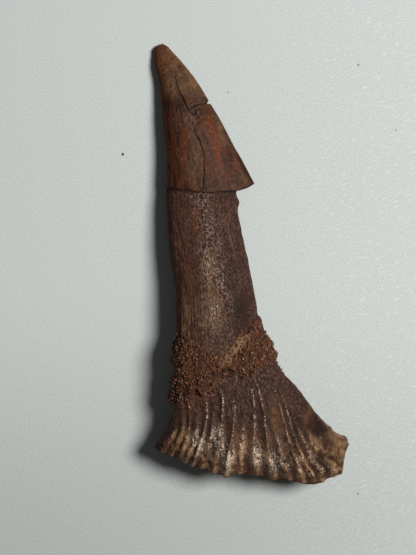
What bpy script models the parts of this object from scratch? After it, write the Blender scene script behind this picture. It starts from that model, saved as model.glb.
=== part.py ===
"""Fossil sawfish rostral tooth, lying flat, with cemented sand still stuck round its neck.

The tooth is one grown piece: a cap of enamel with one barb, a stem of dentine, and a base that flares
into flutes. It is a loft of level lines. A level line crosses the tooth from its left edge to its right
edge over the upper face and comes back under it, so each one is a closed ring, and the rings follow each
other from the tip to the rim of the base. +Y runs from the base to the tip, +Z up from the surface that
the tooth lies on, and the origin is at the middle of the bottom of its box.
"""

import bmesh
import bpy
import numpy as np

MM = 0.001

# Level lines from the tip down, in millimetres: distance down the tooth, left end x y, right end x y,
# rise of the upper face and drop of the under face from the edge, height of the edge, and bulge (1 is an
# ellipse, less is flatter and squarer, more is thinner towards the edges).
CAP = np.array((
    (0.00, -10.15, 25.08, -10.15, 25.08, 0.00, 0.00, 0.36, 1.00),
    (0.35, -10.78, 24.78, -9.58, 24.78, 0.26, 0.26, 0.36, 1.00),
    (0.75, -11.04, 24.42, -9.20, 24.38, 0.36, 0.42, 0.38, 1.00),
    (1.40, -11.08, 23.70, -8.60, 23.74, 0.48, 0.48, 0.42, 1.02),
    (2.55, -10.98, 22.50, -7.58, 22.60, 0.64, 0.52, 0.54, 1.08),
    (4.35, -10.55, 20.65, -6.25, 20.80, 0.84, 0.62, 0.68, 1.15),
    (6.60, -10.35, 18.40, -4.85, 18.50, 1.06, 0.74, 0.82, 1.20),
    (9.05, -10.15, 15.90, -3.35, 16.00, 1.28, 0.86, 0.96, 1.22),
    (11.55, -9.95, 13.40, -2.05, 13.50, 1.48, 0.98, 1.08, 1.25),
    (14.00, -9.85, 10.90, -0.70, 11.10, 1.66, 1.10, 1.20, 1.28),
    (16.15, -9.80, 8.60, 0.35, 9.10, 1.80, 1.22, 1.32, 1.30),
))
STEM = np.array((
    (16.55, -9.60, 8.45, -1.60, 8.35, 1.72, 1.20, 1.32, 1.35),
    (17.50, -9.65, 7.55, -1.55, 7.35, 1.80, 1.30, 1.40, 1.40),
    (19.30, -9.60, 5.50, -1.55, 5.85, 1.95, 1.42, 1.52, 1.45),
    (21.90, -9.45, 3.15, -1.04, 3.15, 2.12, 1.58, 1.68, 1.45),
    (24.80, -9.15, 0.15, -0.36, 0.15, 2.35, 1.75, 1.85, 1.40),
    (28.00, -8.70, -3.00, 0.25, -3.00, 2.55, 1.92, 2.04, 1.30),
    (30.00, -8.55, -5.50, 0.55, -4.60, 2.65, 2.02, 2.16, 1.15),
    (32.20, -8.55, -8.50, 0.80, -6.00, 2.75, 2.12, 2.28, 1.00),
    (35.00, -8.70, -11.00, 1.90, -8.85, 2.85, 2.25, 2.40, 0.85),
    (39.00, -9.00, -15.65, 3.52, -12.35, 2.95, 2.40, 2.50, 0.72),
    (41.00, -9.00, -17.15, 5.40, -14.40, 3.05, 2.50, 2.52, 0.64),
    (43.00, -9.45, -18.40, 7.90, -17.70, 3.10, 2.58, 2.50, 0.58),
    (44.60, -10.35, -19.75, 10.15, -19.50, 2.95, 2.58, 2.45, 0.54),
    (45.20, -10.75, -20.30, 10.85, -19.85, 2.70, 2.45, 2.42, 0.52),
    (45.60, -11.10, -20.80, 11.10, -20.45, 2.20, 2.05, 2.40, 0.52),
))
CREST_LEAN = 0.8  # below 1, the ridge of the upper face is left of the middle
# The tooth lies turned a little about its length: distance down, and height of the left edge over the
# right edge, millimetres.
EDGE_TILT = np.array((
    (0.0, 0.0), (4.0, 0.35), (16.0, 0.8), (19.0, 1.2), (30.0, 1.2), (36.0, 0.6), (41.0, 0.2), (45.6, 0.0),
))
FIRST_BENT = 28.0  # distance down where the level lines stop being straight
CRUST_TOP = 32.2
CRUST_BOTTOM = 39.0
RIM = 45.6

# How far a level line bends up or down from the straight line between its ends: share of the way from
# left to right, and millimetres along Y. The lip of the cap, the crust's two edges and the rim are such
# lines. The lip's bend grows along the cap and dies away on the stem.
LIP_BEND = np.array((
    (0.00, 0.00), (0.25, -0.50), (0.47, -0.78), (0.74, -0.71), (0.81, -0.69), (0.875, -0.58), (0.94, -0.36),
    (1.00, 0.00),
))
LIP_GROWTH = np.array(((9.0, 0.0), (12.5, 0.5), (16.15, 1.0), (16.55, 0.6), (20.0, 0.0)))
CRUST_TOP_BEND = np.array((
    (0.00, 0.00), (0.14, -0.25), (0.27, -1.25), (0.39, -2.70), (0.55, -3.30), (0.70, -3.40),
    (0.80, -2.40), (0.90, -1.00), (1.00, 0.00),
))
CRUST_BOTTOM_BEND = np.array((
    (0.00, 0.00), (0.15, 0.00), (0.32, 0.20), (0.45, 1.20), (0.55, 1.20), (0.68, 0.65), (0.85, 0.45),
    (1.00, 0.00),
))
RIM_BEND = np.array((
    (0.000, 0.00), (0.045, -0.70), (0.113, -1.25), (0.185, -2.00), (0.282, -2.65), (0.364, -3.35),
    (0.440, -3.15), (0.523, -3.30), (0.608, -3.85), (0.687, -3.95), (0.764, -4.35), (0.810, -4.50),
    (0.856, -4.30), (0.885, -3.90), (0.945, -3.45), (0.967, -2.95), (0.978, -1.10), (1.000, 0.00),
))
UNDER_TOP_BEND = np.array(((0.0, 0.0), (0.2, -0.6), (0.45, -1.9), (0.7, -1.2), (0.88, -1.6), (1.0, 0.0)))
UNDER_BOTTOM_BEND = np.array(((0.0, 0.0), (0.25, 0.7), (0.5, -0.4), (0.75, 0.5), (1.0, 0.0)))
UNDER_RIM_SHARE = 0.93  # the rim of the under face is drawn in a little from the upper one

# Flutes of the base: where a crest leaves the neck and where it meets the rim, as shares of the way from
# left to right, and its height as a share of FLUTE_HEIGHT.
FLUTES = np.array((
    (0.035, 0.045, 0.5), (0.085, 0.085, 0.6), (0.140, 0.125, 0.8), (0.210, 0.160, 0.5),
    (0.295, 0.197, 1.0), (0.350, 0.240, 0.6), (0.418, 0.303, 1.0), (0.535, 0.364, 1.1),
    (0.605, 0.435, 0.5), (0.680, 0.510, 0.9), (0.736, 0.608, 1.2), (0.800, 0.680, 0.5),
    (0.868, 0.759, 1.0), (0.905, 0.815, 0.6), (0.940, 0.862, 0.7), (0.972, 0.920, 0.5),
))
FLUTE_HEIGHT = 0.50
FLUTE_START = 0.06  # shares of the way from the crust to the rim over which a flute grows
FLUTE_FULL = 0.60
CREST_ACROSS = np.arccos(1 - 2 * FLUTES[:, 0]) / np.pi
STEPS_PER_FLUTE = 4  # loft steps from one crest to the next
UNDER_SEED = 7

BASE_HOLLOW = 1.7  # depth of the dished face at the bottom of the base
SPINE_SHRINK = 0.82  # length of the dish's bottom against the length of the rim

CRUST_GAP = 0.3  # clearance between the crust and the tooth
WAIST = 0.55  # depth of the waist in the tooth that the crust fills
WAIST_STEP = 0.3  # length of the slope at each side of that waist
CRUST_PROUD = 0.12  # how far the crust stands over the tooth at its edges
CRUST_SWELL = 0.22  # how much further it stands between them
CRUST_LUMP = 0.42  # greatest height of its lumps of grains
# How far it stands over the right edge of the tooth: distance down, millimetres.
CRUST_EDGE = np.array((
    (32.2, 0.10), (33.5, 0.03), (34.6, 0.10), (35.3, 0.34), (35.9, 0.20), (36.7, 0.48), (37.4, 0.02),
    (39.0, 0.00),
))
CRUST_EDGE_FROM = 0.9  # where that begins, as a share of the way across
CRUST_SEED = 11
CRUST_COLUMNS = 30  # on each face
CRUST_ROWS = 7
CRUST_FLOOR = 0.05  # the crust stays this far off what the tooth lies on

ROWS = np.concatenate((
    CAP[:, 0], (16.55, 18.0, 21.0, 24.5, 28.0, 30.5),
    (CRUST_TOP, CRUST_TOP + WAIST_STEP, 35.6, CRUST_BOTTOM - WAIST_STEP, CRUST_BOTTOM),
    (40.0, 41.0, 42.0, 43.0, 43.9, 44.6, 45.2, RIM),
))


def smoothstep(value, start, end):
    """0 up to start, 1 from end on, and an even S between them."""
    t = np.clip((value - start) / (end - start), 0, 1)
    return t * t * (3 - 2 * t)


def through(points, at):
    """Smooth line through rows of (knot, value, ...): cubics whose slope at a knot is its neighbours'."""
    knots, values = points[:, 0], points[:, 1:]
    slopes = np.gradient(values, knots, axis=0)
    i = np.clip(np.searchsorted(knots, at, side="right") - 1, 0, len(knots) - 2)
    gap = (knots[i + 1] - knots[i])[..., None]
    t = (at - knots[i])[..., None] / gap
    return (
        values[i] * (1 + 2 * t) * (1 - t) ** 2 + slopes[i] * gap * t * (1 - t) ** 2
        + values[i + 1] * t**2 * (3 - 2 * t) - slopes[i + 1] * gap * t**2 * (1 - t)
    )


def level_line(down):
    """The level lines at those distances: smooth along the cap and along the stem, and a straight step
    between them, which makes the lower lip of the cap and the underside of the barb."""
    lip, stem_top = CAP[-1, 0], STEM[0, 0]
    cap = through(CAP, np.minimum(down, lip))
    stem = through(STEM, np.maximum(down, stem_top))
    share = np.clip((down - lip) / (stem_top - lip), 0, 1)[..., None]
    return cap * (1 - share) + stem * share


def skin(down, across, under):
    """Points of one face before its waist and flutes. across runs from 0 at the left edge to 1 at the
    right edge, spaced as on a half circle, so that the edges are round."""
    down, across = np.broadcast_arrays(down, across)
    left_x, left_y, right_x, right_y, rise, drop, edge, bulge = np.moveaxis(level_line(down), -1, 0)
    at_neck = (1 - np.cos(np.pi * across)) / 2
    necks = np.concatenate(((0,), FLUTES[:, 0], (1,)))
    ends = np.linspace(0, 1, len(necks)) if under else np.concatenate(((0,), FLUTES[:, 1], (1,)))
    at_rim = np.interp(at_neck, necks, 0.5 * (ends + necks) if under else ends)
    flare = np.clip((down - CRUST_BOTTOM) / (RIM - CRUST_BOTTOM), 0, 1)
    share = at_neck * (1 - flare) + at_rim * flare

    knots = (FIRST_BENT, CRUST_TOP, CRUST_BOTTOM, RIM)
    top, bottom = (UNDER_TOP_BEND, UNDER_BOTTOM_BEND) if under else (CRUST_TOP_BEND, CRUST_BOTTOM_BEND)
    rim_share = UNDER_RIM_SHARE if under else 1
    bend = np.interp(down, knots, (0, 1, 0, 0)) * through(top, at_neck)[..., 0]
    bend += np.interp(down, knots, (0, 0, 1, 0)) * through(bottom, at_neck)[..., 0]
    bend += np.interp(down, knots, (0, 0, 0, 1)) * through(RIM_BEND, at_rim)[..., 0] * rim_share
    bend += np.interp(down, *LIP_GROWTH.T) * through(LIP_BEND, share)[..., 0]

    swell = np.sin(np.pi * across ** (1 if under else CREST_LEAN)).clip(0) ** bulge
    x = left_x + (right_x - left_x) * share
    y = left_y + (right_y - left_y) * share + bend
    edge = edge + np.interp(down, *EDGE_TILT.T) * (0.5 - share)
    z = edge - drop * swell if under else edge + rise * swell
    return np.stack((x, y, z), axis=-1)


def flutes(down, across, under):
    """Height of the flutes: sharp crests and round valleys between them, growing towards the rim."""
    heights = FLUTES[:, 2]
    if under:
        heights = np.random.default_rng(UNDER_SEED).permutation(heights)
    places = np.concatenate(((0,), CREST_ACROSS, (1,)))
    place = np.interp(across, places, np.arange(len(places)))
    height = np.interp(across, CREST_ACROSS, heights)
    crest = np.abs(2 * (place % 1) - 1) ** 1.5
    flare = (down - CRUST_BOTTOM) / (RIM - CRUST_BOTTOM)
    edge_fade = smoothstep(across, 0, 0.08) * smoothstep(1 - across, 0, 0.08)
    return FLUTE_HEIGHT * height * (crest - 0.4) * smoothstep(flare, FLUTE_START, FLUTE_FULL) * edge_fade


def waist(down):
    """Depth of the waist under the crust."""
    return WAIST * np.interp(
        down, (CRUST_TOP, CRUST_TOP + WAIST_STEP, CRUST_BOTTOM - WAIST_STEP, CRUST_BOTTOM), (0, 1, 1, 0))


def under_face(rings, count):
    """The under face's columns of some rings, from the left edge to the right edge."""
    return np.concatenate((rings[:, :1], rings[:, :count - 1:-1], rings[:, count - 1:count]), axis=1)


def ring(of, down, across):
    """A function of both faces, around the tooth: over the upper face from left to right, then back
    under it. down has one column, or one for each place around."""
    count = across.shape[1]
    below = down if down.shape[1] == 1 else under_face(down, count)
    upper = of(down[:, :count], across, False)
    under = of(below, across, True)
    return np.concatenate((upper, under[:, -2:0:-1]), axis=1)


def outward(points):
    """Unit normals of a grid whose rows are closed rings."""
    along = np.gradient(points, axis=0)
    around = np.roll(points, -1, axis=1) - np.roll(points, 1, axis=1)
    normal = np.cross(along, around)
    return normal / np.maximum(np.linalg.norm(normal, axis=-1, keepdims=True), 1e-9)


def right_edge(down, across, under):
    """1 along the right edge of the tooth, and soon 0 beside it, alike on both faces and all the way down."""
    return smoothstep(across, CRUST_EDGE_FROM, 1) + 0 * down


def columns():
    """Loft columns: the two edges, every crest, and even steps between."""
    places = np.concatenate(((0,), CREST_ACROSS, (1,)))
    steps = np.arange((len(places) - 1) * STEPS_PER_FLUTE + 1) / STEPS_PER_FLUTE
    return np.interp(steps, np.arange(len(places)), places)


def dish(rim, across):
    """Rings of the hollow end face, from the rim of the base in to a line along its middle."""
    count = across.shape[1]
    spine = (rim[:count] + under_face(rim[None], count)[0]) / 2
    middle = spine.mean(axis=0)
    rim_x = np.maximum.accumulate(spine[:, 0])
    rim_y = spine[:, 1].copy()
    spine[:, 0] = middle[0] + (spine[:, 0] - middle[0]) * SPINE_SHRINK
    hollow = BASE_HOLLOW * np.sin(np.pi * across[0]).clip(0) ** 0.5
    spine[:, 1] = np.interp(spine[:, 0], rim_x, rim_y) + hollow
    spine[:, 2] = middle[2]
    spine = np.concatenate((spine, spine[-2:0:-1]))
    return [
        rim + (spine - rim) * (inward, np.sin(inward * np.pi / 2), inward)
        for inward in (0.35, 0.7, 1.0)
    ]


def tooth_rings():
    """Every ring of the tooth, from the point of the cap to the middle of the dish in the base."""
    down, across = ROWS[:, None], columns()[None, :]
    points = ring(skin, down, across)
    relief = ring(flutes, down, across) - waist(down)
    points = points + outward(points) * relief[..., None]
    points[..., 2] = points[..., 2].clip(0)
    return np.concatenate((points, dish(points[-1], across)))


def crust_rings():
    """Rings of the crust: down its outer face, then back up inside the waist of the tooth."""
    across = np.linspace(0, 1, CRUST_COLUMNS + 1)[None, :]
    edges = ring(skin, np.array(((CRUST_TOP,), (CRUST_BOTTOM,))), across)
    inset = (CRUST_GAP + WAIST_STEP / 2) / np.linalg.norm(edges[1] - edges[0], axis=-1)
    share = np.linspace(0, 1, CRUST_ROWS)[:, None]
    down = CRUST_TOP + (CRUST_BOTTOM - CRUST_TOP) * (inset + (1 - 2 * inset) * share)
    points = ring(skin, down, across)
    normal = outward(points)
    lumps = np.random.default_rng(CRUST_SEED).random(points.shape[:2]) - 0.5
    proud = CRUST_PROUD + (CRUST_SWELL + CRUST_LUMP * lumps) * np.sin(np.pi * share).clip(0) ** 0.7
    at_edge = ring(right_edge, down, across)
    proud = proud * (1 - at_edge) + np.interp(down, *CRUST_EDGE.T) * at_edge
    outer = points + normal * proud[..., None]
    inner = points - normal * (WAIST - CRUST_GAP)
    rings = np.concatenate((outer, inner[::-(CRUST_ROWS // 2)]))
    rings[..., 2] = rings[..., 2].clip(CRUST_FLOOR)
    return rings


def material(name, colour, roughness):
    """A plain stone finish of that colour."""
    made = bpy.data.materials.new(name)
    made.use_nodes = True
    shader = made.node_tree.nodes["Principled BSDF"]
    shader.inputs["Base Color"].default_value = (*colour, 1)
    shader.inputs["Roughness"].default_value = roughness
    shader.inputs["Metallic"].default_value = 0
    return made


def solid(name, rings, closed, finish, collection):
    """A mesh over the rings, each joined to the next, and the last to the first where it is closed."""
    rows, count = rings.shape[:2]
    first = np.arange(rows if closed else rows - 1)[:, None]
    after = (first + 1) % rows
    column = np.arange(count)[None, :]
    beside = (column + 1) % count
    faces = np.stack((
        first * count + column, after * count + column, after * count + beside, first * count + beside,
    ), axis=-1)
    mesh = bpy.data.meshes.new(name)
    mesh.from_pydata((rings.reshape(-1, 3) * MM).tolist(), [], faces.reshape(-1, 4).tolist())
    edit = bmesh.new()
    edit.from_mesh(mesh)
    bmesh.ops.remove_doubles(edit, verts=edit.verts, dist=1e-7)
    edit.to_mesh(mesh)
    edit.free()
    mesh.materials.append(finish)
    mesh.shade_smooth()
    mesh.set_sharp_from_angle(angle=np.radians(40))
    collection.objects.link(bpy.data.objects.new(name, mesh))


for old in list(bpy.data.objects):
    bpy.data.objects.remove(old)
parts = bpy.data.collections.new("fossil_sawfish_rostral_tooth")
bpy.context.scene.collection.children.link(parts)
solid("rostral_tooth", tooth_rings(), False, material("fossil_enamel_and_dentine", (0.09, 0.04, 0.025), 0.4),
      parts)
solid("sand_matrix", crust_rings(), True, material("iron_cemented_sand", (0.16, 0.07, 0.03), 0.9), parts)
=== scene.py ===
"""Fossil sawfish rostral tooth with cemented sand round its neck: the finished surfaces.

The sections follow the object as it is put together: the dentine root, the enamel cap on it, the crust
of sand round the neck, and its loose-looking grains. Lengths are in millimetres until a mesh is made.
"""

import itertools

import bmesh
import bpy
import numpy as np
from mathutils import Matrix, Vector


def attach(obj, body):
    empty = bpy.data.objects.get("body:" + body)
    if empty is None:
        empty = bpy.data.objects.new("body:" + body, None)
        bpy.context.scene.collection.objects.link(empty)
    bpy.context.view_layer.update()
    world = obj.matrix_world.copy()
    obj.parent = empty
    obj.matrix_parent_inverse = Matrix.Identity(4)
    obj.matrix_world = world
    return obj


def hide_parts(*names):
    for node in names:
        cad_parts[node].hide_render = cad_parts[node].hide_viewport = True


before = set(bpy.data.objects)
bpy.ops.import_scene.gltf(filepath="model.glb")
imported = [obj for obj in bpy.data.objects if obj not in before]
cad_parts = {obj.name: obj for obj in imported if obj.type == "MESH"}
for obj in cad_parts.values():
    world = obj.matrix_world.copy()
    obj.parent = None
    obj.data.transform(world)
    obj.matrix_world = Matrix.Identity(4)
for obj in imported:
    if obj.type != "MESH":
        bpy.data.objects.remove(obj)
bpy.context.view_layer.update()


# ---------------------------------------------------------------------------------------------------
# Dentine root: the stem and the flared, fluted base of the tooth, without the crust.
# It grew as one fibrous piece, so its striae run from the neck out along the flutes to the rim. Its crests
# are worn smooth and shine. The cap sits on its upper end.

MM = 0.001

# Level lines down the root: distance down the tooth, left end x y, right end x y, rise of the upper face
# and drop of the under face from the edge, height of the edge, bulge (1 is an ellipse, less is squarer).
STEM = np.array((
    (16.55, -9.60, 8.45, -1.60, 8.35, 1.72, 1.20, 1.32, 1.35),
    (17.50, -9.65, 7.55, -1.55, 7.35, 1.80, 1.30, 1.40, 1.40),
    (19.30, -9.60, 5.50, -1.55, 5.85, 1.95, 1.42, 1.52, 1.45),
    (21.90, -9.45, 3.15, -1.04, 3.15, 2.12, 1.58, 1.68, 1.45),
    (24.80, -9.15, 0.15, -0.36, 0.15, 2.35, 1.75, 1.85, 1.40),
    (28.00, -8.70, -3.00, 0.25, -3.00, 2.55, 1.92, 2.04, 1.30),
    (30.00, -8.55, -5.50, 0.55, -4.60, 2.65, 2.02, 2.16, 1.15),
    (32.20, -8.55, -8.50, 0.80, -6.00, 2.75, 2.12, 2.28, 1.00),
    (35.00, -8.70, -11.00, 1.90, -8.85, 2.85, 2.25, 2.40, 0.85),
    (39.00, -9.00, -15.65, 3.52, -12.35, 2.95, 2.40, 2.50, 0.72),
    (41.00, -9.00, -17.15, 5.40, -14.40, 3.05, 2.50, 2.52, 0.64),
    (43.00, -9.45, -18.40, 7.90, -17.70, 3.10, 2.58, 2.50, 0.58),
    (44.60, -10.35, -19.75, 10.15, -19.50, 2.95, 2.58, 2.45, 0.54),
    (45.20, -10.75, -20.30, 10.85, -19.85, 2.70, 2.45, 2.42, 0.52),
    (45.60, -11.10, -20.80, 11.10, -20.45, 2.20, 2.05, 2.40, 0.52),
))
CREST_LEAN = 0.8  # below 1, the ridge of the upper face is left of the middle
# Height of the left edge over the right edge: distance down the tooth, millimetres.
EDGE_TILT = np.array((
    (0.0, 0.0), (4.0, 0.35), (16.0, 0.8), (19.0, 1.2), (30.0, 1.2), (36.0, 0.6), (41.0, 0.2), (45.6, 0.0),
))
FIRST_BENT, CRUST_TOP, CRUST_BOTTOM, RIM = 28.0, 32.2, 39.0, 45.6
# Bends of three level lines, from left to right: share of the way across, millimetres along Y.
TOP_BEND = np.array((
    (0.00, 0.00), (0.14, -0.25), (0.27, -1.25), (0.39, -2.70), (0.55, -3.30), (0.70, -3.40),
    (0.80, -2.40), (0.90, -1.00), (1.00, 0.00),
))
BOTTOM_BEND = np.array((
    (0.00, 0.00), (0.15, 0.00), (0.32, 0.20), (0.45, 1.20), (0.55, 1.20), (0.68, 0.65), (0.85, 0.45),
    (1.00, 0.00),
))
RIM_BEND = np.array((
    (0.000, 0.00), (0.045, -0.70), (0.113, -1.25), (0.185, -2.00), (0.282, -2.65), (0.364, -3.35),
    (0.440, -3.15), (0.523, -3.30), (0.608, -3.85), (0.687, -3.95), (0.764, -4.35), (0.810, -4.50),
    (0.856, -4.30), (0.885, -3.90), (0.945, -3.45), (0.967, -2.95), (0.978, -1.10), (1.000, 0.00),
))
UNDER_TOP_BEND = np.array(((0.0, 0.0), (0.2, -0.6), (0.45, -1.9), (0.7, -1.2), (0.88, -1.6), (1.0, 0.0)))
UNDER_BOTTOM_BEND = np.array(((0.0, 0.0), (0.25, 0.7), (0.5, -0.4), (0.75, 0.5), (1.0, 0.0)))
UNDER_RIM_SHARE = 0.93  # the rim of the under face is drawn in a little from the upper one
# Flutes: where the crest leaves the neck and meets the rim, as shares of the way across, and its height.
FLUTES = np.array((
    (0.035, 0.045, 0.5), (0.085, 0.085, 0.6), (0.140, 0.125, 0.8), (0.210, 0.160, 0.5),
    (0.295, 0.197, 1.0), (0.350, 0.240, 0.6), (0.418, 0.303, 1.0), (0.535, 0.364, 1.1),
    (0.605, 0.435, 0.5), (0.680, 0.510, 0.9), (0.736, 0.608, 1.2), (0.800, 0.680, 0.5),
    (0.868, 0.759, 1.0), (0.905, 0.815, 0.6), (0.940, 0.862, 0.7), (0.972, 0.920, 0.5),
))
# Where each crest first stands out, as a share of the way from the crust to the rim, and how glossy it is.
CREST_STARTS = (0, 0, 0, 0.05, 0.05, 0.30, 0.15, 0.35, 0.50, 0.22, 0.10, 0.55, 0.22, 0.26, 0.55, 0.60)
POLISH = np.array((0, 0, 0.5, 0.3, 0.9, 0.3, 1, 1, 0.3, 0.9, 1, 0.2, 0.9, 0.6, 0.7, 0.3))
UNDER_POLISH = 0.4
SPREAD_END = 0.93  # share of that way where the crests have reached their places at the rim
CREST_ROUND, EDGE_FADE = 0.2, 0.08  # rounding of a crest, and the share across where flutes fade out
UNDER_SEED = 7
BASE_HOLLOW, SPINE_SHRINK = 1.7, 0.82  # depth of the dished end face, and length of its bottom
LATTICE = 24  # random heights along each side of a lattice, before they repeat
WELD = 1e-7  # points that are nearer than this are one point, in metres


def smoothstep(value, start, end):
    """0 up to start, 1 from end on, and an even S between them: t squared times 3 minus 2 t, where t is
    the share of the way from start to end."""
    t = np.clip((value - start) / (end - start), 0, 1)
    return t * t * (3 - 2 * t)


def through(points, at):
    """Smooth line through rows of (knot, value, ...): cubics whose slope at a knot is its neighbours'."""
    knots, values = points[:, 0], points[:, 1:]
    slopes = np.gradient(values, knots, axis=0)
    i = np.clip(np.searchsorted(knots, at, side="right") - 1, 0, len(knots) - 2)
    gap = (knots[i + 1] - knots[i])[..., None]
    t = (at - knots[i])[..., None] / gap
    return (
        values[i] * (1 + 2 * t) * (1 - t) ** 2 + slopes[i] * gap * t * (1 - t) ** 2
        + values[i + 1] * t**2 * (3 - 2 * t) - slopes[i + 1] * gap * t**2 * (1 - t)
    )


def bell(distance, width):
    """1 at distance 0, and softly down to 0: e to the power of minus the square of distance over width."""
    return np.exp(-((distance / width) ** 2))


def spots(x, y, *rows):
    """The sum of soft spots in plan. A row is a spot's strength, its centre x y and its radii x y. A spot
    is its strength times e to the power of minus two squares: distance over radius along X, and along Y."""
    return sum(
        strength * np.exp(-(((x - centre_x) / radius_x) ** 2) - ((y - centre_y) / radius_y) ** 2)
        for strength, centre_x, centre_y, radius_x, radius_y in rows
    )


def face(level_lines, down, across, under):
    """One face of the tooth. The place across is the straight line between a level line's two ends plus
    its bend, and below the crust it goes over from the crests' places at the neck to those at the rim.
    The height is the edge's, plus the rise (or minus the drop) times a sine of across, raised to the
    bulge. Returns the points and the share of the way across."""
    down, across = np.broadcast_arrays(down, across)
    lines = np.moveaxis(through(level_lines, down), -1, 0)
    left_x, left_y, right_x, right_y, rise, drop, edge, bulge = lines
    at_neck = (1 - np.cos(np.pi * across)) / 2
    necks = np.concatenate(((0,), FLUTES[:, 0], (1,)))
    ends = np.concatenate(((0,), FLUTES[:, 1], (1,)))
    at_rim = np.interp(at_neck, necks, (np.linspace(0, 1, len(necks)) + necks) / 2 if under else ends)
    flare = np.clip((down - CRUST_BOTTOM) / (RIM - CRUST_BOTTOM), 0, 1)
    spread = smoothstep(flare, 0, SPREAD_END)
    share = at_neck * (1 - spread) + at_rim * spread

    knots = (FIRST_BENT, CRUST_TOP, CRUST_BOTTOM, RIM)
    top, bottom = (UNDER_TOP_BEND, UNDER_BOTTOM_BEND) if under else (TOP_BEND, BOTTOM_BEND)
    bend = np.interp(down, knots, (0, 1, 0, 0)) * through(top, at_neck)[..., 0]
    bend += np.interp(down, knots, (0, 0, 1, 0)) * through(bottom, at_neck)[..., 0]
    rim_bend = through(RIM_BEND, at_rim)[..., 0] * (UNDER_RIM_SHARE if under else 1)
    bend += np.interp(down, knots, (0, 0, 0, 1)) * rim_bend

    swell = np.sin(np.pi * across ** (1 if under else CREST_LEAN)).clip(0) ** bulge
    x = left_x + (right_x - left_x) * share
    y = left_y + (right_y - left_y) * share + bend
    edge = edge + np.interp(down, *EDGE_TILT.T) * (0.5 - share)
    z = edge - drop * swell if under else edge + rise * swell
    return np.stack((x, y, z, share), axis=-1)


def around(upper, under):
    """Rows over the upper face from left to right, then back under it, without the two edges again."""
    return np.concatenate((upper, under[:, -2:0:-1]), axis=1)


def outward(points):
    """Unit normals of a grid whose rows are closed rings, from each place's neighbours in the grid."""
    along = np.gradient(points, axis=0)
    beside = np.roll(points, -1, axis=1) - np.roll(points, 1, axis=1)
    normal = np.cross(along, beside)
    return normal / np.maximum(np.linalg.norm(normal, axis=-1, keepdims=True), 1e-9)


def hills(points, size, seed):
    """Smooth random hills from -1 to 1: random heights on a lattice of that size, blended between its
    corners with an even S."""
    table = np.random.default_rng(seed).uniform(-1, 1, (LATTICE, LATTICE, LATTICE))
    place = points / np.asarray(size)
    cell = np.floor(place).astype(int)
    t = place - cell
    t = t * t * (3 - 2 * t)
    total = 0
    for corner in itertools.product((0, 1), repeat=3):
        weight = np.prod(np.where(corner, t, 1 - t), axis=-1)
        i = (cell + corner) % LATTICE
        total = total + weight * table[i[..., 0], i[..., 1], i[..., 2]]
    return total


def flute_relief(across, under):
    """Crest height, each flute's size, and where it starts. With near as 1 on a crest and 0 in a valley, a
    little rounded on the crest, the height is half of near to the power 1.4 and half of near to the
    power 4. The size fades out towards the two edges."""
    heights = FLUTES[:, 2]
    if under:
        heights = np.random.default_rng(UNDER_SEED).permutation(heights)
    crests = np.arccos(1 - 2 * FLUTES[:, 0]) / np.pi
    places = np.concatenate(((0,), crests, (1,)))
    place = np.interp(across, places, np.arange(len(places)))
    away = 1 - np.abs(2 * (place % 1) - 1)
    near = 1 + CREST_ROUND - np.sqrt(away**2 + CREST_ROUND**2)
    edge_fade = smoothstep(across, 0, EDGE_FADE) * smoothstep(1 - across, 0, EDGE_FADE)
    starts = np.interp(across, crests, CREST_STARTS)
    return 0.5 * near**1.4 + 0.5 * near**4, np.interp(across, crests, heights) * edge_fade, starts


def mesh_piece(name, rings, wraps, **marks):
    """A mesh over rings of points, each joined to the next, and the last to the first where it wraps.
    A ring that has shrunk to a point is welded, and an end ring that stays open is filled. marks are
    values kept at the points: one number, or three."""
    rows, count = rings.shape[:2]
    first = np.arange(rows if wraps else rows - 1)[:, None]
    after = (first + 1) % rows
    column = np.arange(count)[None, :]
    beside = (column + 1) % count
    corners = ((first, column), (after, column), (after, beside), (first, beside))
    quads = np.stack([row * count + place for row, place in corners], axis=-1)
    mesh = bpy.data.meshes.new(name)
    mesh.from_pydata((rings.reshape(-1, 3) * MM).tolist(), [], quads.reshape(-1, 4).tolist())
    for label, value in marks.items():
        kind, field = ("FLOAT_VECTOR", "vector") if value.ndim == 3 else ("FLOAT", "value")
        layer = mesh.attributes.new(label, kind, "POINT")
        layer.data.foreach_set(field, value.astype(np.float32).ravel())
    edit = bmesh.new()
    edit.from_mesh(mesh)
    bmesh.ops.remove_doubles(edit, verts=edit.verts, dist=WELD)
    ends = bmesh.ops.holes_fill(edit, edges=[e for e in edit.edges if e.is_boundary], sides=0)
    bmesh.ops.triangulate(edit, faces=ends["faces"])
    bmesh.ops.recalc_face_normals(edit, faces=edit.faces)
    edit.to_mesh(mesh)
    edit.free()
    mesh.shade_smooth()
    piece = bpy.data.objects.new(name, mesh)
    bpy.context.scene.collection.objects.link(piece)
    return piece


def linear(hex_colour):
    """An sRGB hex colour as the linear numbers that a shader takes."""
    channel = np.array([int(hex_colour[i:i + 2], 16) for i in (1, 3, 5)]) / 255
    return (*np.where(channel <= 0.04045, channel / 12.92, ((channel + 0.055) / 1.055) ** 2.4), 1.0)


def add(tree, kind, inputs=None, **settings):
    """Adds a node, sets its properties, and gives each named input its value or its link."""
    made = tree.nodes.new(kind)
    for name, value in settings.items():
        setattr(made, name, value)
    for name, value in (inputs or {}).items():
        if isinstance(value, bpy.types.NodeSocket):
            tree.links.new(value, made.inputs[name])
        else:
            made.inputs[name].default_value = value
    return made


def finish(name):
    """A new material: its node tree and its shader."""
    made = bpy.data.materials.new(name)
    made.use_nodes = True
    return made, made.node_tree, made.node_tree.nodes["Principled BSDF"]


def place_mm(tree):
    """The place on the piece, in millimetres."""
    place = add(tree, "ShaderNodeTexCoord").outputs["Object"]
    return add(tree, "ShaderNodeVectorMath", {0: place, "Scale": 1000}, operation="SCALE").outputs[0]


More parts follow.
